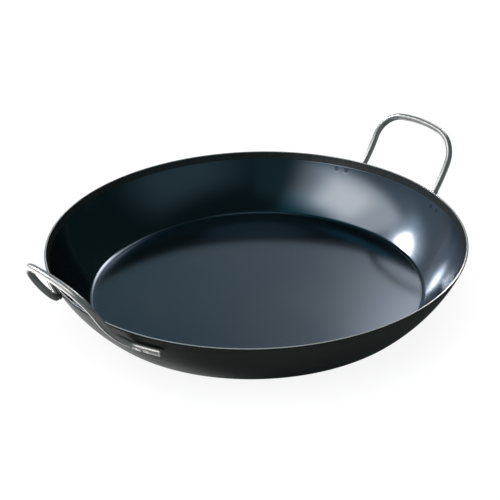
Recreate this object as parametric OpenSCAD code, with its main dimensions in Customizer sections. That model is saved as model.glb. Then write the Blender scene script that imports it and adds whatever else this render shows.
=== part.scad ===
// Two-handled shallow pan of blued sheet steel.
// A pressed pan shell carries two bent wire handles. Each handle lies on the outside of the wall
// just below the rim, and four resistance-weld nuggets hold it there.
// The origin is the centre of the flat underside, +Z is up and the right handle points along +X.

/* [Pan shell] */
// Outer diameter at the rim
rim_d = 300; // [260:1:400]
// Height from the underside to the outer edge of the rim
pan_h = 41; // [36:0.5:50]
// Diameter of the flat underside, where the corner starts
base_d = 235.5; // [200:0.5:236]
// Outer radius of the corner between the underside and the wall
corner_r = 6; // [4:0.5:10]
// Slope of the wall just above the corner, in degrees above horizontal
wall_foot_slope = 42.6; // [38:0.1:46]
// Thickness of the sheet
sheet_t = 1.6; // [1.2:0.1:2.5]

/* [Wire handles] */
// Diameter of the handle wire
wire_d = 5; // [4:0.5:7]
// Slope of a leg just above its foot, in degrees above horizontal
leg_slope = 49.5; // [46:0.5:54]
// Slope of the loop beyond its legs, in degrees above horizontal
loop_slope = 61; // [56:0.5:66]
// Centreline radius that a leg curves upwards with, which sets how long the leg is
leg_curve_r = 100; // [85:1:120]
// Centreline radius of the two corners beside the grip bar
loop_corner_r = 21.5; // [12:0.5:24]
// Arch of the grip bar: how far each end turns down from its middle, in degrees
bar_arch = 9.5; // [3:0.5:14]
// Depth of the feet's centreline below the rim
foot_depth = 9.8; // [8:0.1:14]
// Centreline radius of the bend from a leg into its foot
foot_bend_r = 15; // [8:0.5:16]
// Angle round the pan from the handle's middle to the start of a foot
foot_start_a = 18.8; // [16:0.1:24]
// Angle round the pan from the handle's middle to the cut end of a foot
foot_end_a = 25.2; // [25:0.1:32]
// Direction of the left handle, counted from the right one
left_handle_a = 177; // [174:0.5:186]

/* [Welds] */
// Diameter of a weld nugget
nugget_d = 3.6; // [3:0.1:4]
// How far a nugget reaches into the sheet
nugget_in_sheet = 0.9; // [0.5:0.1:1]
// How far a nugget reaches into the wire
nugget_in_wire = 1.2; // [0.8:0.1:1.4]
// Angle round the pan from the handle's middle to the inner weld of a foot
weld_inner_a = 17.6; // [17:0.1:19]
// Angle round the pan from the handle's middle to the outer weld of a foot
weld_outer_a = 20.8; // [20:0.1:23]
// Diameter of the shallow electrode mark inside the pan
mark_d = 5; // [3:0.5:6]
// Depth of the electrode mark
mark_depth = 0.1; // [0.1:0.05:0.3]

/* [Hidden] */

steel_colour = [0.16, 0.20, 0.24];
wire_colour = [0.78, 0.79, 0.80];
weld_colour = [0.45, 0.44, 0.43];

// Gap that keeps the wire's surface from sharing a line with the sheet's
seat_gap = 0.05;
// Bending draws the wire thinner by this much, and each bend runs this far into its neighbours
bend_thinning = 0.02;
bend_lap = 0.3;
// A bead in the sheet, this much thinner than it, ties two stretches of the wall into one solid
bead_undercut = 0.02;
fine = 360;
round_wire = 48;

function unit(v) = v / norm(v);
// Direction in the r-z half plane, measured from straight down towards outwards
function meridian(a) = [sin(a), -cos(a)];

// --- Wall of the pan, as arcs in the half plane [distance from the axis, height] ---
base_r = base_d / 2;
rim_r = rim_d / 2;
corner_c = [base_r, corner_r];
wall_start = corner_c + corner_r * meridian(wall_foot_slope);
wall_chord = [rim_r, pan_h] - wall_start;
chord_slope = atan2(wall_chord.y, wall_chord.x);
// An arc turns as much above its chord as below it, so the slope at the rim follows
rim_slope = 2 * chord_slope - wall_foot_slope;
wall_r = norm(wall_chord) / (2 * sin((rim_slope - wall_foot_slope) / 2));
wall_c = wall_start - wall_r * meridian(wall_foot_slope);

// --- Circle that the feet's centreline follows round the wall ---
seat_r = wall_r + seat_gap + wire_d / 2;
foot_z = pan_h - foot_depth;
foot_r = wall_c.x + sqrt(seat_r * seat_r - (foot_z - wall_c.y) * (foot_z - wall_c.y));
// Slope of the wall where a foot lies on it
seat_slope = atan2(foot_r - wall_c.x, wall_c.y - foot_z);

// --- Centreline of the handle's half on its +Y side, the handle pointing along +X ---
side = [0, 1, 0];
rise = [cos(leg_slope), 0, sin(leg_slope)];
foot_start = [foot_r * cos(foot_start_a), foot_r * sin(foot_start_a), foot_z];
// Along the foot at its start, towards the handle's middle
foot_dir = [sin(foot_start_a), -cos(foot_start_a), 0];
bend_turn = acos(foot_dir * rise);
bend_axis = unit(cross(foot_dir, rise));
bend_c = foot_start + foot_bend_r * cross(bend_axis, foot_dir);
leg_start = foot_start + foot_bend_r * tan(bend_turn / 2) * (foot_dir + rise);
half_w = leg_start.y;
// Each leg curves upwards in an upright plane, about a centre above it
to_leg_c = [-sin(leg_slope), 0, cos(leg_slope)];
leg_c = leg_start + leg_curve_r * to_leg_c;
leg_end = leg_c + leg_curve_r * [sin(loop_slope), 0, -cos(loop_slope)];
loop_rise = [cos(loop_slope), 0, sin(loop_slope)];
bar_end_u = half_w - loop_corner_r * (1 - sin(bar_arch));
bar_r = bar_end_u / sin(bar_arch);
bar_c_v = (loop_corner_r - bar_r) * cos(bar_arch);
// Point of the loop's plane, u along +Y and v up the slope from the ends of the legs
function in_loop(u, v) = [leg_end.x, 0, leg_end.z] + u * side + v * loop_rise;

// Moves children from a frame's own axes to origin o with the given x and y directions
module in_frame(o, x, y) {
    z = cross(x, y);
    multmatrix([[x.x, y.x, z.x, o.x], [x.y, y.y, z.y, o.y], [x.z, y.z, z.z, o.z], [0, 0, 0, 1]])
        children();
}

// Curved stretch of wire: it starts at c + r * x and heads along y
module wire_arc(c, x, y, r, turn, d) {
    in_frame(c, x, y)
        rotate_extrude(angle = turn, $fn = fine)
            translate([r, 0]) circle(d = d, $fn = round_wire);
}

// Tight bend of the same kind, with its laps
module wire_bend(c, x, y, r, turn) {
    lap_a = bend_lap / r * 180 / PI;
    wire_arc(c, cos(lap_a) * x - sin(lap_a) * y, cos(lap_a) * y + sin(lap_a) * x, r,
             turn + 2 * lap_a, wire_d - bend_thinning);
}

// Half of a handle, without the grip bar
module handle_half() {
    translate([0, 0, foot_z])
        rotate([0, 0, foot_start_a])
            rotate_extrude(angle = foot_end_a - foot_start_a, $fn = fine)
                translate([foot_r, 0]) circle(d = wire_d, $fn = round_wire);
    wire_bend(bend_c, -cross(bend_axis, foot_dir), foot_dir, foot_bend_r, bend_turn);
    wire_arc(leg_c, -to_leg_c, rise, leg_curve_r, loop_slope - leg_slope, wire_d);
    wire_bend(in_loop(half_w - loop_corner_r, 0), side, loop_rise, loop_corner_r, 90 - bar_arch);
}

// Whole wire of a handle that points along +X
module handle_wire() {
    handle_half();
    mirror([0, 1, 0]) handle_half();
    wire_arc(in_loop(0, bar_c_v), cos(bar_arch) * loop_rise + sin(bar_arch) * side,
             sin(bar_arch) * loop_rise - cos(bar_arch) * side, bar_r, 2 * bar_arch, wire_d);
}

// Angles of a handle's four welds round the pan, from its right foot to its left
weld_angles = [-weld_outer_a, -weld_inner_a, weld_inner_a, weld_outer_a];

// Cylinder square to the wall at a weld: it starts a given way in from the wire's centre
module at_weld(a, from, to, d) {
    rotate([0, 0, a])
        translate([foot_r, 0, foot_z])
            rotate([0, seat_slope - 180, 0])
                translate([0, 0, from]) cylinder(d = d, h = to - from, $fn = round_wire);
}

module nugget(a) {
    at_weld(a, wire_d / 2 - nugget_in_wire, wire_d / 2 + seat_gap + nugget_in_sheet, nugget_d);
}

// Electrode mark in the sheet's inner face
module weld_mark(a) {
    inner_face = wire_d / 2 + seat_gap + sheet_t;
    at_weld(a, inner_face - mark_depth, inner_face + 1, mark_d);
}

// Band of the half plane between two arcs about c, over a range of slopes
module arc_band(c, r, from, to) {
    reach = 2 * r;
    translate(c) intersection() {
        difference() {
            circle(r = r, $fn = 4 * fine);
            circle(r = r - sheet_t, $fn = 4 * fine);
        }
        polygon([[0, 0], reach * meridian(from), reach * meridian(to)]);
    }
}

// Bead inside the sheet where two arcs meet, given their centre, outer radius and slope there
module sheet_bead(c, r, slope) {
    translate(c + (r - sheet_t / 2) * meridian(slope)) circle(d = sheet_t - bead_undercut, $fn = round_wire);
}

module pan_profile() {
    square([base_r, sheet_t]);
    sheet_bead(corner_c, corner_r, 0);
    sheet_bead(corner_c, corner_r, wall_foot_slope);
    arc_band(corner_c, corner_r, 0, wall_foot_slope);
    arc_band(wall_c, wall_r, wall_foot_slope, rim_slope);
}

module pan_shell() {
    color(steel_colour) difference() {
        rotate_extrude($fn = fine) pan_profile();
        for (handle_a = [0, left_handle_a], a = weld_angles) rotate([0, 0, handle_a]) {
            nugget(a);
            weld_mark(a);
        }
    }
}

module handle(handle_a) {
    color(wire_colour) rotate([0, 0, handle_a]) difference() {
        handle_wire();
        for (a = weld_angles) nugget(a);
    }
}

module handle_weld(handle_a, i) {
    color(weld_colour) rotate([0, 0, handle_a]) nugget(weld_angles[i - 1]);
}

pan_shell();
handle(0);  // right_handle
handle(left_handle_a);  // left_handle
for (i = [1:4]) {
    handle_weld(0, i);
    handle_weld(left_handle_a, i);
}
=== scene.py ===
import math

import bpy
from mathutils import Matrix, Vector


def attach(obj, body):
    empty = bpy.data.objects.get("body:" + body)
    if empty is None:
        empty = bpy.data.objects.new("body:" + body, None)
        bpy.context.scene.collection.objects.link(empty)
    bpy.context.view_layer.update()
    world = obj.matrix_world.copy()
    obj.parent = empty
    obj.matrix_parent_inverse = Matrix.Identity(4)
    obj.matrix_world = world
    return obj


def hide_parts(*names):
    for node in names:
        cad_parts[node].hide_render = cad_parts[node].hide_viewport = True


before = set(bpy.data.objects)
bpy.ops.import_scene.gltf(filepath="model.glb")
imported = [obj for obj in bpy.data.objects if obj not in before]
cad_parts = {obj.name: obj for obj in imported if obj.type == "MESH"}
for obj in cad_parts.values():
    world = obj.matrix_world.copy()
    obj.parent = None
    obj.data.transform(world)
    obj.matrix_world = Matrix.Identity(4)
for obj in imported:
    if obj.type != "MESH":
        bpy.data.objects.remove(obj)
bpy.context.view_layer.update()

# Two-handled shallow pan of blued sheet steel. Lengths are in metres and angles in degrees unless
# a name says otherwise. The pan stands on z = 0, and its right handle points along +X.

# --- Pan shell: the driving sizes of the pressed sheet ---
RIM_R = 0.150
PAN_H = 0.041
BASE_R = 0.11775
CORNER_R = 0.006
WALL_FOOT_SLOPE = 42.6
SHEET_T = 0.0016
RIM_ROUND = 0.0002       # rounding of the cut rim's inner edge
RIM_ROLL = 0.0008        # roll-over that the shears left on its outer edge
RIM_BAND = 0.0058        # ground band inside the rim, measured along the wall
BAND_STEP = 0.00004      # depth of the fine line below that band

# --- Wire handles ---
WIRE_R = 0.00249
SEAT_GAP = 0.00005
LEG_SLOPE = 49.5
LOOP_SLOPE = 61.0
LEG_CURVE_R = 0.1
LOOP_CORNER_R = 0.0215
BAR_ARCH = 9.5
FOOT_DEPTH = 0.0098
FOOT_BEND_R = 0.015
FOOT_START = 18.8
FOOT_END = 25.2
LEFT_HANDLE = 177.0
END_CHAMFER = 0.0005
DENT_DEPTH = 0.00045     # flats that the welding electrode leaves on the wire
DENT_LENGTH = 0.0046
DENT_FLAT = 0.7          # share of a dent's length that is flat, and how long it runs out beyond that
DENT_RUNOUT = 0.45

# --- Welds ---
WELD_ANGLES = (-20.8, -17.6, 17.6, 20.8)
MARK_R = 0.0024
MARK_DEPTH = 0.00003
MARK_FLAT = 0.55         # the mark's flat bottom, the lip round it and its whole reach, in mark radii
LIP_PLACE = 1.15
LIP_WIDTH = 0.16
MARK_REACH = 1.8
LIP_HEIGHT = 0.25        # in mark depths
HEAT_R = 0.0019          # reach of the heat spot on the inner face

# --- Fineness of the meshes ---
OUTLINE_END = 0.004      # radius where the shell's outline stops, and a fan of triangles closes it
FLAT_LAP = 0.002         # the flats' outlines stop this far short of the corner
SIDES = 40               # faces round the wire


def sin(a):
    return math.sin(math.radians(a))


def cos(a):
    return math.cos(math.radians(a))


def spread(low, high, count):
    """count evenly spaced values from low to high."""
    return [low + (high - low) * i / (count - 1) for i in range(count)]


def smooth(x):
    """0 below 0, 1 above 1 and an even ramp between."""
    x = min(max(x, 0.0), 1.0)
    return x * x * (3 - 2 * x)


# ---------------------------------------------------------------- shape of the wall

class Wall:
    """The wall's two arcs in the half plane (distance from the axis, height)."""

    corner = Vector((BASE_R, CORNER_R))

    def __init__(self):
        start = self.at(self.corner, CORNER_R, WALL_FOOT_SLOPE)
        chord = Vector((RIM_R, PAN_H)) - start
        self.rim_slope = 2 * math.degrees(math.atan2(chord.y, chord.x)) - WALL_FOOT_SLOPE
        self.r = chord.length / (2 * sin((self.rim_slope - WALL_FOOT_SLOPE) / 2))
        self.c = self.at(start, -self.r, WALL_FOOT_SLOPE)

    @staticmethod
    def at(centre, r, slope):
        """Point at distance r from centre, where an arc about it has that slope."""
        return centre + r * Vector((sin(slope), -cos(slope)))

    def outer(self, slope):
        return self.at(self.c, self.r, slope)

    def inner(self, slope):
        return self.at(self.c, self.r - SHEET_T, slope)

    def slope_at(self, z, offset):
        """Slope of the wall at the height where a curve that far outside it reaches z."""
        return math.degrees(math.acos((self.c.y - z) / (self.r + offset)))


wall = Wall()
FOOT_Z = PAN_H - FOOT_DEPTH
SEAT_SLOPE = wall.slope_at(FOOT_Z, SEAT_GAP + WIRE_R)
FOOT_R = wall.at(wall.c, wall.r + SEAT_GAP + WIRE_R, SEAT_SLOPE).x
BAND_SLOPE = wall.rim_slope - math.degrees(RIM_BAND / wall.r)


# ---------------------------------------------------------------- mesh helpers

def new_object(name, verts, faces, materials, face_materials=None, uvs=None):
    """A smooth-shaded mesh object. face_materials gives each face's slot, uvs a pair per loop."""
    mesh = bpy.data.meshes.new(name)
    mesh.from_pydata(verts, [], faces)
    for m in materials:
        mesh.materials.append(m)
    if face_materials:
        mesh.polygons.foreach_set("material_index", face_materials)
    mesh.polygons.foreach_set("use_smooth", [True] * len(faces))
    if uvs:
        layer = mesh.uv_layers.new(name="wire")
        layer.data.foreach_set("uv", [c for uv in uvs for c in uv])
    mesh.update()
    obj = bpy.data.objects.new(name, mesh)
    bpy.context.scene.collection.objects.link(obj)
    return obj


# ---------------------------------------------------------------- pan shell

INSIDE, BAND, EDGE, OUTSIDE = range(4)


def shell_outline():
    """Points (r, z, zone) from the middle of the floor, over the rim, to the middle of the underside."""
    corner_in = CORNER_R - SHEET_T
    # Each stretch starts or ends a fraction of a degree away from its neighbour
    rim = wall.rim_slope - 0.3
    line = [(r, SHEET_T, INSIDE) for r in spread(OUTLINE_END, BASE_R - FLAT_LAP, 12)]
    line += [(*wall.at(wall.corner, corner_in, a), INSIDE) for a in spread(0, WALL_FOOT_SLOPE, 18)]
    line += [(*wall.inner(a), INSIDE) for a in spread(WALL_FOOT_SLOPE + 0.4, BAND_SLOPE - 0.2, 62)]
    line.append((*wall.at(wall.c, wall.r - SHEET_T + BAND_STEP, BAND_SLOPE), INSIDE))
    line += [(*wall.inner(a), BAND) for a in spread(BAND_SLOPE + 0.15, rim, 12)]
    line += [(*p, zone) for p, zone in rim_round()]
    line += [(*wall.outer(a), OUTSIDE) for a in spread(rim, WALL_FOOT_SLOPE, 64)]
    line += [(*wall.at(wall.corner, CORNER_R, a), OUTSIDE) for a in spread(WALL_FOOT_SLOPE - 3, 0, 15)]
    line += [(r, 0.0, OUTSIDE) for r in spread(BASE_R - FLAT_LAP, OUTLINE_END, 8)]
    return line


def rim_round():
    """The cut edge, square to the wall: bare steel, then a dark roll-over towards the outside."""
    turn = spread(0, 90, 7)
    along = Vector((cos(wall.rim_slope), sin(wall.rim_slope)))
    across = Vector((sin(wall.rim_slope), -cos(wall.rim_slope)))
    inner = wall.at(wall.c, wall.r - SHEET_T + RIM_ROUND, wall.rim_slope) - RIM_ROUND * along
    outer = wall.at(wall.c, wall.r - RIM_ROLL, wall.rim_slope) - RIM_ROLL * along
    line = [(inner + RIM_ROUND * (sin(t) * along - cos(t) * across), EDGE) for t in turn]
    line += [(outer + RIM_ROLL * (cos(t) * along + sin(t) * across), OUTSIDE) for t in turn]
    return line


def strip_zone(first, second):
    """Zone of the strip between two points: the second's, but the edge runs up to the outside."""
    return first[2] if second[2] == OUTSIDE else second[2]


def weld_places():
    """Angle round the pan of every weld."""
    return [h + a for h in (0.0, LEFT_HANDLE) for a in WELD_ANGLES]


def weld_spot(place):
    """Point of the inner face behind the weld at that angle round the pan."""
    point = wall.inner(SEAT_SLOPE)
    return Vector((point.x * cos(place), point.x * sin(place), point.y))


def ring_angles():
    """One ring segment a degree, with finer ones across the weld marks."""
    angles = {round(float(a), 3) for a in range(360)}
    window = math.degrees(MARK_REACH * MARK_R / RIM_R)
    for place in weld_places():
        angles |= {round(a % 360, 3) for a in spread(place - window, place + window, 13)}
    return sorted(angles)


def weld_dimple(p):
    """How far the inner face is pressed in at p by the electrodes, with a low lip round each mark."""
    depth = 0.0
    for place in weld_places():
        d = (p - weld_spot(place)).length / MARK_R
        if d < MARK_REACH:
            depth += MARK_DEPTH * (1 - smooth((d - MARK_FLAT) / (1 - MARK_FLAT)))
            depth -= LIP_HEIGHT * MARK_DEPTH * math.exp(-((d - LIP_PLACE) / LIP_WIDTH) ** 2)
    return depth


def pan_shell(materials):
    outline = shell_outline()
    angles = ring_angles()
    verts = []
    for r, z, zone in outline:
        for a in angles:
            p = Vector((r * cos(a), r * sin(a), z))
            if zone == INSIDE and z > FOOT_Z - 3 * MARK_R:
                slope = math.degrees(math.atan2(r - wall.c.x, wall.c.y - z))
                outward = Vector((sin(slope) * cos(a), sin(slope) * sin(a), -cos(slope)))
                p += weld_dimple(p) * outward
            verts.append(p)
    n = len(angles)
    faces = []
    zones = []
    for i in range(len(outline) - 1):
        zone = strip_zone(outline[i], outline[i + 1])
        for j in range(n):
            k = (j + 1) % n
            faces.append((i * n + j, i * n + k, (i + 1) * n + k, (i + 1) * n + j))
            zones.append(zone)
    last = (len(outline) - 1) * n
    verts += [Vector((0, 0, SHEET_T)), Vector((0, 0, 0))]
    for j in range(n):
        k = (j + 1) % n
        faces.append((len(verts) - 2, k, j))
        zones.append(INSIDE)
        faces.append((len(verts) - 1, last + j, last + k))
        zones.append(OUTSIDE)
    faces = [tuple(reversed(f)) for f in faces]
    obj = new_object("pan_body", verts, faces, materials, zones)
    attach(obj, "root")
    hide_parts("pan_shell")
    return obj


# ---------------------------------------------------------------- wire handles

def turned(v, axis, angle):
    return Matrix.Rotation(math.radians(angle), 3, axis) @ v


def half_path():
    """Centreline of the handle's +Y half, from the foot's end to the middle of the grip bar."""
    side = Vector((0, 1, 0))
    rise = Vector((cos(LEG_SLOPE), 0, sin(LEG_SLOPE)))
    foot = spread(FOOT_END, FOOT_START, 40)
    path = [Vector((FOOT_R * cos(a), FOOT_R * sin(a), FOOT_Z)) for a in foot]
    start = path[-1]
    along = Vector((sin(FOOT_START), -cos(FOOT_START), 0))
    turn = math.degrees(along.angle(rise))
    axis = along.cross(rise).normalized()
    centre = start + FOOT_BEND_R * axis.cross(along)
    path += [centre + turned(start - centre, axis, t) for t in spread(0, turn, 34)[1:]]
    leg = path[-1]
    leg_centre = leg + LEG_CURVE_R * Vector((-sin(LEG_SLOPE), 0, cos(LEG_SLOPE)))
    path += [leg_centre + LEG_CURVE_R * Vector((sin(a), 0, -cos(a)))
             for a in spread(LEG_SLOPE, LOOP_SLOPE, 18)[1:]]
    origin = Vector((path[-1].x, 0, path[-1].z))
    loop_rise = Vector((cos(LOOP_SLOPE), 0, sin(LOOP_SLOPE)))
    bar_r = (leg.y - LOOP_CORNER_R * (1 - sin(BAR_ARCH))) / sin(BAR_ARCH)
    bar_v = (LOOP_CORNER_R - bar_r) * cos(BAR_ARCH)
    corner_u = leg.y - LOOP_CORNER_R

    def place(u, v):
        return origin + u * side + v * loop_rise

    path += [place(corner_u + LOOP_CORNER_R * cos(t), LOOP_CORNER_R * sin(t))
             for t in spread(0, 90 - BAR_ARCH, 34)[1:]]
    path += [place(bar_r * sin(t), bar_v + bar_r * cos(t)) for t in spread(BAR_ARCH, 0, 18)[1:]]
    return path


def tangents(path):
    ends = [path[0], *path, path[-1]]
    return [(ends[i + 2] - ends[i]).normalized() for i in range(len(path))]


def dent(p, out, offset):
    """Takes the outward-facing side of the wire down to a flat at each weld."""
    angle = math.degrees(math.atan2(p.y, p.x))
    near = min(abs(angle - a) for a in WELD_ANGLES)
    reach = math.radians(near) * FOOT_R / (DENT_LENGTH / 2)
    flat = WIRE_R - DENT_DEPTH * (1 - smooth((reach - DENT_FLAT) / DENT_RUNOUT))
    over = offset.dot(out) - flat
    return offset - over * out if over > 0 and p.z < FOOT_Z + WIRE_R else offset


def wire_handle(name, node, direction, material):
    half = half_path()
    path = half + [Vector((p.x, -p.y, p.z)) for p in reversed(half[:-1])]
    dirs = tangents(path)
    seat_out = Vector((sin(SEAT_SLOPE), 0, -cos(SEAT_SLOPE)))
    first = turned(seat_out, Vector((0, 0, 1)), FOOT_END)
    normal = (first - first.dot(dirs[0]) * dirs[0]).normalized()
    rings = []
    lengths = []
    run = 0.0
    for i, (p, t) in enumerate(zip(path, dirs)):
        if i:
            normal = dirs[i - 1].rotation_difference(t) @ normal
            run += (p - path[i - 1]).length
        normal = (normal - normal.dot(t) * t).normalized()
        side = t.cross(normal)
        out = turned(seat_out, Vector((0, 0, 1)), math.degrees(math.atan2(p.y, p.x)))
        ring = []
        for k in range(SIDES):
            a = 360 * k / SIDES
            ring.append(p + dent(p, out, WIRE_R * (cos(a) * normal + sin(a) * side)))
        rings.append(ring)
        lengths.append(run)
    rings, lengths = add_ends(rings, lengths, path, dirs)
    turn = Matrix.Rotation(math.radians(direction), 3, "Z")
    verts = [turn @ v for ring in rings for v in ring]
    faces = []
    uvs = []
    for i in range(len(rings) - 1):
        for k in range(SIDES):
            m = (k + 1) % SIDES
            faces.append((i * SIDES + k, i * SIDES + m, (i + 1) * SIDES + m, (i + 1) * SIDES + k))
            u0, u1 = lengths[i], lengths[i + 1]
            v0, v1 = k / SIDES, (k + 1) / SIDES
            uvs += [(u0, v0), (u0, v1), (u1, v1), (u1, v0)]
    faces.append(tuple(reversed(range(SIDES))))
    faces.append(tuple(range(len(verts) - SIDES, len(verts))))
    uvs += [(0.0, k / SIDES) for k in range(SIDES)] * 2
    obj = new_object(name, verts, faces, [material], uvs=uvs)
    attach(obj, "root")
    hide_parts(node)
    return obj


def add_ends(rings, lengths, path, dirs):
    """Chamfers both cut ends and closes them with a nearly flat face."""
    def shrunk(ring, centre, share, shift):
        return [centre + share * (v - centre) + shift for v in ring]

    def cap(ring, centre, out):
        inset = 1 - END_CHAMFER / WIRE_R
        chamfer = [(1.0, -1.0), (1.0, -0.98), (inset, -0.02), (inset, 0.0)]
        face = [(inset * 0.97, 0.0), (0.45, 0.0), (0.05, 0.0)]
        steps = chamfer + face
        return [shrunk(ring, centre, share, shift * END_CHAMFER * out) for share, shift in steps]

    head = list(reversed(cap(rings[0], path[0], -dirs[0])))
    tail = cap(rings[-1], path[-1], dirs[-1])
    middle = rings[1:-1]
    all_rings = head + middle + tail
    all_lengths = [lengths[0]] * len(head) + lengths[1:-1] + [lengths[-1]] * len(tail)
    return all_rings, all_lengths


# ---------------------------------------------------------------- materials

class Nodes:
    """Short calls for adding nodes to a tree."""

    def __init__(self, tree):
        self.tree = tree

    def add(self, kind, **settings):
        node = self.tree.nodes.new(kind)
        for key, value in settings.items():
            setattr(node, key, value)
        return node

    def feed(self, socket, value):
        if isinstance(value, bpy.types.NodeSocket):
            self.tree.links.new(value, socket)
        else:
            socket.default_value = value

    def maths(self, operation, a, b=0.0):
        node = self.add("ShaderNodeMath", operation=operation)
        self.feed(node.inputs[0], a)
        self.feed(node.inputs[1], b)
        return node.outputs[0]

    def noise(self, vector, scale, detail=3.0, rough=0.55):
        node = self.add("ShaderNodeTexNoise")
        self.feed(node.inputs["Vector"], vector)
        node.inputs["Scale"].default_value = scale
        node.inputs["Detail"].default_value = detail
        node.inputs["Roughness"].default_value = rough
        return node.outputs["Fac"]

    def span(self, value, low, high, to_low=0.0, to_high=1.0, curve="LINEAR"):
        """Maps low..high to to_low..to_high, and holds the ends."""
        node = self.add("ShaderNodeMapRange", interpolation_type=curve)
        self.feed(node.inputs["Value"], value)
        ends = {"From Min": low, "From Max": high, "To Min": to_low, "To Max": to_high}
        for key, number in ends.items():
            node.inputs[key].default_value = number
        return node.outputs["Result"]

    def vector(self, x, y, z):
        node = self.add("ShaderNodeCombineXYZ")
        for socket, value in zip(node.inputs, (x, y, z)):
            self.feed(socket, value)
        return node.outputs[0]

    def mix(self, factor, a, b):
        node = self.add("ShaderNodeMix", data_type="RGBA")
        self.feed(node.inputs["Factor"], factor)
        self.feed(node.inputs["A"], a)
        self.feed(node.inputs["B"], b)
        return node.outputs["Result"]


class Shader(Nodes):
    """A node material, with the coordinates and the finish that this scene's surfaces share."""

    def __init__(self, name):
        self.mat = bpy.data.materials.new(name)
        self.mat.use_nodes = True
        super().__init__(self.mat.node_tree)
        self.bsdf = self.tree.nodes["Principled BSDF"]
        self.place = self.add("ShaderNodeTexCoord").outputs["Object"]

    def stretch(self, x, y, z):
        """Object coordinates scaled by three factors."""
        node = self.add("ShaderNodeMapping")
        self.feed(node.inputs["Vector"], self.place)
        node.inputs["Scale"].default_value = (x, y, z)
        return node.outputs["Vector"]

    def round_coords(self):
        """(distance from the pan's axis, angle round it in radians, height) as three sockets."""
        parts = self.add("ShaderNodeSeparateXYZ")
        self.feed(parts.inputs[0], self.place)
        x, y, z = parts.outputs
        squares = self.maths("ADD", self.maths("MULTIPLY", x, x), self.maths("MULTIPLY", y, y))
        return self.maths("SQRT", squares), self.maths("ARCTAN2", y, x), z

    def streaks(self, detail=3.0, rough=0.55, **axes):
        """Noise over up to three sockets: x=(socket, factor) scales one up for the noise's x axis."""
        scaled = [0.0, 0.0, 0.0]
        for axis, (socket, factor) in axes.items():
            scaled["xyz".index(axis)] = self.maths("MULTIPLY", socket, factor)
        return self.noise(self.vector(*scaled), 1.0, detail, rough)

    def bump(self, height, depth):
        """Bump whose full height is depth metres."""
        node = self.add("ShaderNodeBump")
        node.inputs["Strength"].default_value = 1.0
        node.inputs["Distance"].default_value = depth
        self.feed(node.inputs["Height"], height)
        self.feed(self.bsdf.inputs["Normal"], node.outputs["Normal"])

    def finish(self, colour, roughness, metallic=1.0, **plain):
        self.feed(self.bsdf.inputs["Base Color"], colour)
        self.feed(self.bsdf.inputs["Roughness"], roughness)
        self.bsdf.inputs["Metallic"].default_value = metallic
        for key, value in plain.items():
            self.bsdf.inputs[key.replace("_", " ")].default_value = value
        return self.mat


def rgba(r, g, b):
    return (r, g, b, 1.0)


def weld_spots(s):
    """1 where a weld's heat has darkened the inner face, and 0 a little way off."""
    total = 0.0
    for place in weld_places():
        away = s.add("ShaderNodeVectorMath", operation="DISTANCE")
        s.feed(away.inputs[0], s.place)
        away.inputs[1].default_value = weld_spot(place)
        near = s.span(away.outputs["Value"], HEAT_R, HEAT_R / 3, curve="SMOOTHSTEP")
        total = s.maths("MAXIMUM", total, near)
    return total


def blued_inside():
    """Oven-blued sheet: satin, with faint rings from spinning and a cloudy, slightly uneven blue, and a
    little shade painted into the floor's corner.
    """
    s = Shader("blued_inside")
    r, angle, z = s.round_coords()
    rings = s.streaks(x=(r, 900.0), y=(z, 900.0), detail=4.0, rough=0.7)
    cloud = s.noise(s.place, 11.0, 4.0)
    grain = s.noise(s.place, 1400.0, 2.0)
    blue = s.mix(s.span(cloud, 0.35, 0.65), rgba(0.205, 0.250, 0.302), rgba(0.232, 0.262, 0.302))
    colour = s.mix(s.span(rings, 0.3, 0.75, 0.0, 0.10), blue, rgba(0.14, 0.18, 0.23))
    # Painted shade: the colour is darkened a little across the floor's rounded corner, where it meets the
    # wall.
    corner_in = s.span(r, BASE_R, BASE_R + 0.001)
    corner_out = s.span(r, BASE_R + 0.003, BASE_R + 0.002)
    corner = s.maths("MULTIPLY", corner_in, corner_out)
    colour = s.mix(s.maths("MULTIPLY", corner, 0.15), colour, rgba(0.06, 0.08, 0.10))
    colour = s.mix(s.maths("MULTIPLY", weld_spots(s), 0.65), colour, rgba(0.05, 0.055, 0.06))
    rough = s.maths("ADD", s.span(cloud, 0.3, 0.7, 0.125, 0.150), s.span(grain, 0.3, 0.7, -0.012, 0.012))
    height = s.maths("ADD", s.maths("MULTIPLY", rings, 0.6), s.maths("MULTIPLY", grain, 0.4))
    s.bump(height, 0.0000012)
    return s.finish(colour, rough)


def ground_band():
    """Band inside the rim, ground grey, with fine upright scratches."""
    s = Shader("ground_band")
    r, angle, z = s.round_coords()
    strokes = s.streaks(x=(angle, 150.0), y=(z, 60.0), rough=0.65)
    cloud = s.noise(s.place, 16.0, 3.0)
    grey = s.mix(s.span(strokes, 0.3, 0.7), rgba(0.07, 0.075, 0.075), rgba(0.13, 0.13, 0.125))
    colour = s.mix(s.span(cloud, 0.35, 0.65, 0.0, 0.5), grey, rgba(0.08, 0.09, 0.09))
    s.bump(strokes, 0.00001)
    return s.finish(colour, s.span(strokes, 0.3, 0.7, 0.30, 0.42), metallic=0.9)


def cut_edge():
    """Trimmed edge of the sheet, bare where it was deburred."""
    s = Shader("cut_edge")
    r, angle, z = s.round_coords()
    strokes = s.streaks(x=(angle, 220.0), z=(r, 500.0))
    colour = s.mix(s.span(strokes, 0.3, 0.7), rgba(0.86, 0.86, 0.85), rgba(0.95, 0.95, 0.94))
    s.bump(strokes, 0.00001)
    return s.finish(colour, s.span(strokes, 0.3, 0.7, 0.20, 0.28), metallic=0.7)


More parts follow.
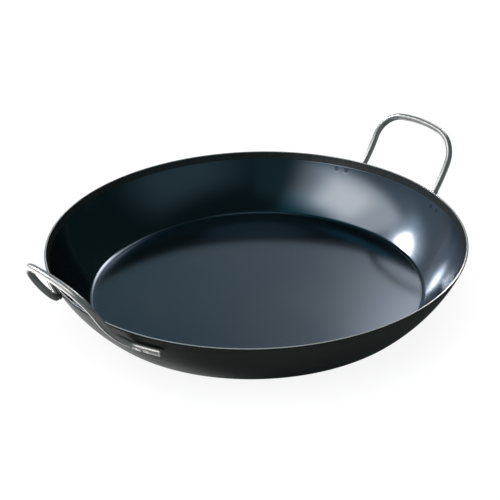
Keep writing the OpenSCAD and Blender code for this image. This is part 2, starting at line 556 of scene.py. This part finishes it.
def black_outside():
    """Black oxide on the outside: dull, with shade painted in as a darker colour towards the bottom, and
    faint marks round the pan.
    """
    s = Shader("black_outside")
    r, angle, z = s.round_coords()
    marks = s.streaks(x=(r, 700.0), y=(angle, 3.0), z=(z, 700.0), detail=4.0, rough=0.65)
    cloud = s.noise(s.place, 28.0, 4.0)
    scuff = s.noise(s.stretch(40.0, 40.0, 260.0), 1.0, 4.0, 0.7)
    # Oxide tone high on the wall (high) and painted shade near the bottom (low); the colour runs from one
    # to the other with height.
    high = s.mix(s.span(cloud, 0.3, 0.7), rgba(0.011, 0.0145, 0.013), rgba(0.016, 0.019, 0.0175))
    low = s.mix(s.span(cloud, 0.3, 0.7), rgba(0.001, 0.002, 0.002), rgba(0.002, 0.0035, 0.0035))
    oxide_and_painted_shade = s.mix(s.span(z, 0.006, 0.034), low, high)
    lined = s.mix(s.span(marks, 0.35, 0.65), oxide_and_painted_shade, rgba(0.020, 0.024, 0.022))
    oxide_and_painted_shade = s.mix(s.span(z, 0.006, 0.030, 0.1, 0.5), oxide_and_painted_shade, lined)
    colour = s.mix(s.span(scuff, 0.58, 0.78, 0.0, 0.3), oxide_and_painted_shade, rgba(0.030, 0.033, 0.031))
    rough = s.maths("ADD", s.span(marks, 0.3, 0.7, 0.36, 0.46), s.span(cloud, 0.3, 0.7, -0.03, 0.03))
    s.bump(s.maths("ADD", s.maths("MULTIPLY", marks, 0.5), s.maths("MULTIPLY", cloud, 0.5)), 0.00004)
    return s.finish(colour, rough, metallic=0.0, Specular_IOR_Level=0.15)


def drawn_wire():
    """Bright stainless wire with fine lines along its length from drawing."""
    s = Shader("drawn_wire")
    uv = s.add("ShaderNodeUVMap", uv_map="wire").outputs["UV"]
    parts = s.add("ShaderNodeSeparateXYZ")
    s.feed(parts.inputs[0], uv)
    run, around = parts.outputs[0], parts.outputs[1]
    lines = s.streaks(x=(run, 40.0), y=(around, 90.0), rough=0.6)
    nicks = s.noise(s.place, 900.0, 2.0)
    smudge = s.noise(s.place, 70.0, 3.0)
    steel = s.mix(s.span(smudge, 0.35, 0.65), rgba(0.80, 0.765, 0.745), rgba(0.85, 0.82, 0.80))
    colour = s.mix(s.span(lines, 0.45, 0.75, 0.0, 0.3), steel, rgba(0.56, 0.55, 0.54))
    rough = s.maths("ADD", s.span(lines, 0.3, 0.7, 0.26, 0.34), s.span(smudge, 0.3, 0.7, 0.0, 0.05))
    s.bump(s.maths("ADD", s.maths("MULTIPLY", lines, 0.8), s.maths("MULTIPLY", nicks, 0.2)), 0.00001)
    return s.finish(colour, rough, metallic=0.93)


def weld_steel():
    """Nugget of a resistance weld: dull, with straw and blue heat colours."""
    s = Shader("weld_steel")
    patch = s.noise(s.place, 600.0, 3.0)
    grain = s.noise(s.place, 3000.0, 2.0)
    colour = s.mix(s.span(patch, 0.4, 0.6), rgba(0.20, 0.16, 0.12), rgba(0.12, 0.13, 0.17))
    s.bump(grain, 0.00004)
    return s.finish(colour, s.span(grain, 0.3, 0.7, 0.4, 0.6))


def studio_floor():
    """White table that glows softly, so the pan casts hardly any shadow."""
    s = Shader("studio_floor")
    tone = s.noise(s.place, 3.0, 2.0)
    s.bsdf.inputs["Emission Color"].default_value = rgba(1.0, 1.0, 1.0)
    s.bsdf.inputs["Emission Strength"].default_value = 0.90
    colour = s.mix(tone, rgba(0.20, 0.20, 0.20), rgba(0.21, 0.21, 0.21))
    return s.finish(colour, 0.9, metallic=0.0, Specular_IOR_Level=0.0)


# ---------------------------------------------------------------- stage, lights and camera

CAMERA_SIDE = -42.87     # direction of view round the pan; 0 looks along +Y
CAMERA_RISE = 27.69      # camera's elevation above the rim
CAMERA_FAR = 1.197       # from the middle of the rim
CAMERA_ROLL = -1.59
AIM_RIGHT = -0.21        # aim beside the middle of the rim
AIM_UP = -0.34
FIELD = 0.29638          # picture's width over its distance


def heading(side, rise):
    """Unit vector from the pan to a place that far round from the view's right, and that high."""
    a = side + CAMERA_SIDE
    return Vector((cos(a) * cos(rise), sin(a) * cos(rise), sin(rise)))


def aim_camera():
    data = bpy.data.cameras.new("camera")
    data.sensor_width = 36.0
    data.lens = data.sensor_width / FIELD
    data.clip_start = 0.05
    target = Vector((0, 0, PAN_H))
    place = target + CAMERA_FAR * heading(-90, CAMERA_RISE)
    ahead = (target - place).normalized()
    right = ahead.cross(Vector((0, 0, 1))).normalized()
    up = right.cross(ahead)
    beside = math.tan(math.radians(AIM_RIGHT)) * right + math.tan(math.radians(AIM_UP)) * up
    look = (ahead + beside).normalized()
    right = look.cross(Vector((0, 0, 1))).normalized()
    up = right.cross(look)
    x = cos(CAMERA_ROLL) * right + sin(CAMERA_ROLL) * up
    y = cos(CAMERA_ROLL) * up - sin(CAMERA_ROLL) * right
    camera = bpy.data.objects.new("camera", data)
    camera.matrix_world = Matrix((x, y, -look)).transposed().to_4x4()
    camera.location = place
    bpy.context.scene.collection.objects.link(camera)
    bpy.context.scene.camera = camera


def hang_soft_box():
    """A large square light overhead, whose own image stays out of the metal."""
    width = 3.6
    above = 2.2
    radiance = 1.1
    data = bpy.data.lights.new("top_fill", "AREA")
    data.shape = "SQUARE"
    data.size = width
    data.energy = radiance * math.pi * width * width
    light = bpy.data.objects.new("top_fill", data)
    light.location = (0, 0, PAN_H / 2 + above)
    light.visible_glossy = False
    bpy.context.scene.collection.objects.link(light)


class Room(Nodes):
    """World background: soft panes of light in a dark room, placed by direction as seen from the pan."""

    def __init__(self):
        world = bpy.data.worlds.new("room")
        world.use_nodes = True
        bpy.context.scene.world = world
        super().__init__(world.node_tree)
        turn = self.add("ShaderNodeMapping")
        turn.inputs["Rotation"].default_value = (0, 0, math.radians(-90 - CAMERA_SIDE))
        self.feed(turn.inputs["Vector"], self.add("ShaderNodeTexCoord").outputs["Generated"])
        parts = self.add("ShaderNodeSeparateXYZ")
        self.feed(parts.inputs[0], turn.outputs["Vector"])
        x, y, z = parts.outputs
        self.round = self.maths("DEGREES", self.maths("ARCTAN2", y, x))
        self.rise = self.maths("DEGREES", self.maths("ARCSINE", z))
        self.total = None

    def window(self, value, first, last):
        """1 between two soft edges, each a pair of where it is dark and where it is fully lit."""
        edges = [self.span(value, dark, lit, curve="SMOOTHSTEP") for dark, lit in (first, last)]
        return self.maths("MULTIPLY", *edges)

    def pane(self, right, left, low, high, radiance, tint=(1, 1, 1)):
        """Adds a pane. Angles round count from straight behind the pan, positive to the left."""
        across = self.window(self.round, right, left)
        upright = self.window(self.rise, low, high)
        share = self.maths("MULTIPLY", across, upright)
        self.glow(self.maths("MULTIPLY", share, radiance), tint)

    def glow(self, amount, tint):
        scale = self.add("ShaderNodeVectorMath", operation="SCALE")
        scale.inputs[0].default_value = tint
        self.feed(scale.inputs["Scale"], amount)
        if self.total is None:
            self.total = scale.outputs[0]
        else:
            both = self.add("ShaderNodeVectorMath", operation="ADD")
            self.feed(both.inputs[0], self.total)
            self.feed(both.inputs[1], scale.outputs[0])
            self.total = both.outputs[0]

    def finish(self):
        self.feed(self.tree.nodes["Background"].inputs["Color"], self.total)


ALL_ROUND = ((-200, -190), (200, 190))


def light_room():
    """The dark studio and its soft lights. Each edge of a pane is a pair: where it is dark, where lit."""
    room = Room()
    # The dark room itself, faintly blue-green
    room.glow(0.024, (0.4, 1.0, 1.05))
    # Broad window on the left, its brighter warm middle, and the haze below, above and beside it
    room.pane((68, 78), (160, 122), (23, 31), (64, 46), 1.1)
    room.pane((88, 105), (140, 122), (28, 38), (60, 48), 0.75, (1.2, 1.0, 0.87))
    room.pane((68, 80), (160, 130), (8, 20), (36, 24), 0.14, (0.75, 1.0, 1.2))
    room.pane((60, 80), (165, 140), (46, 54), (74, 60), 0.1, (0.1, 1.0, 1.4))
    room.pane((110, 150), (205, 180), (10, 28), (62, 48), 0.035, (0.4, 1.0, 1.2))
    # Small strong lamp between that window and the back, with its halo and a blue haze above
    room.pane((47, 54), (65, 60), (23, 29), (34, 30.5), 25.0, (1.1, 1.02, 0.97))
    room.pane((36, 50), (78, 64), (14, 25), (44, 33), 0.9, (0.85, 1.0, 1.15))
    room.pane((30, 38), (58, 50), (40, 48), (74, 64), 0.2, (0.1, 0.9, 1.2))
    # Bright soft box at the back right, with its halo and the lit wall beside it
    room.pane((-46, -41), (-19, -26), (24, 34), (44, 38), 4.3, (1.08, 1.03, 0.97))
    room.pane((-45, -20), (15, -10), (20, 32), (66, 46), 0.05, (0.3, 0.9, 1.4))
    room.pane((-30, -22), (-2.5, -7.5), (27, 31.5), (49, 38), 1.95, (1.0, 0.97, 0.98))
    # Back wall: its foot just above the table, its middle, and a warm patch low on it
    room.pane((-25, -10), (110, 60), (-2, 4), (36, 17), 0.20, (0.8, 1.0, 1.18))
    room.pane((-30, -12), (30, 8), (8, 22), (50, 34), 0.06, (0.6, 1.0, 1.08))
    room.pane((-30, -20), (7, -5), (5, 20), (45, 36), 0.10, (1.4, 0.95, 0.88))
    # Dim side of the room at the front right
    room.pane((-192, -145), (-85, -125), (10, 26), (56, 36), 0.09, (0.65, 1.0, 1.1))
    # Ceiling, and its back edge
    room.pane(*ALL_ROUND, (72, 82), (100, 95), 0.14, (0.6, 0.95, 1.15))
    room.pane((-60, -30), (60, 30), (56, 66), (86, 78), 0.04, (0.5, 1.0, 1.0))
    # Below the table's height: the dark underneath, the dim table, and its bright left part
    room.pane(*ALL_ROUND, (-100, -95), (1, -5), 0.015)
    room.pane(*ALL_ROUND, (-60, -25), (1, -5), 0.075)
    room.pane((0, 13), (120, 80), (-70, -45), (2, -5), 1.3)
    room.finish()
    hang_soft_box()
    bpy.context.scene.view_settings.view_transform = "Standard"


def backdrop_white():
    """Evenly lit white cloth far behind the floor."""
    s = Shader("backdrop_white")
    s.bsdf.inputs["Emission Color"].default_value = rgba(1.0, 1.0, 1.0)
    s.bsdf.inputs["Emission Strength"].default_value = 0.98
    return s.finish(rgba(0.0, 0.0, 0.0), 1.0, metallic=0.0, Specular_IOR_Level=0.0)


def hang_backdrop(material):
    """A dome that only the camera sees, so that low views end in white above the floor's far edge."""
    far = 12.0
    count = 48
    turns = [360 * k / count for k in range(count)]
    rises = spread(-2, 88, 16)
    verts = [(far * cos(b) * cos(a), far * cos(b) * sin(a), far * sin(b)) for b in rises for a in turns]
    faces = []
    for low in range(0, len(verts) - count, count):
        for k in range(count):
            m = (k + 1) % count
            faces.append((low + k, low + count + k, low + count + m, low + m))
    dome = new_object("backdrop", verts, faces, [material])
    dome.visible_glossy = False
    dome.visible_diffuse = False
    dome.visible_transmission = False
    dome.visible_shadow = False


def lay_floor(material):
    half = 12.0
    below = -0.0002
    verts = [(-half, -half, below), (half, -half, below), (half, half, below), (-half, half, below)]
    floor = new_object("floor", verts, [(0, 1, 2, 3)], [material])
    floor.visible_glossy = False


# ---------------------------------------------------------------- the object

aim_camera()
light_room()
lay_floor(studio_floor())
hang_backdrop(backdrop_white())

pan_shell([blued_inside(), ground_band(), cut_edge(), black_outside()])
wire = drawn_wire()
wire_handle("right_wire_handle", "right_handle", 0.0, wire)
wire_handle("left_wire_handle", "left_handle", LEFT_HANDLE, wire)

weld_material = weld_steel()
for name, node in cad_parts.items():
    if "_weld_" in name:
        node.data.materials.clear()
        node.data.materials.append(weld_material)
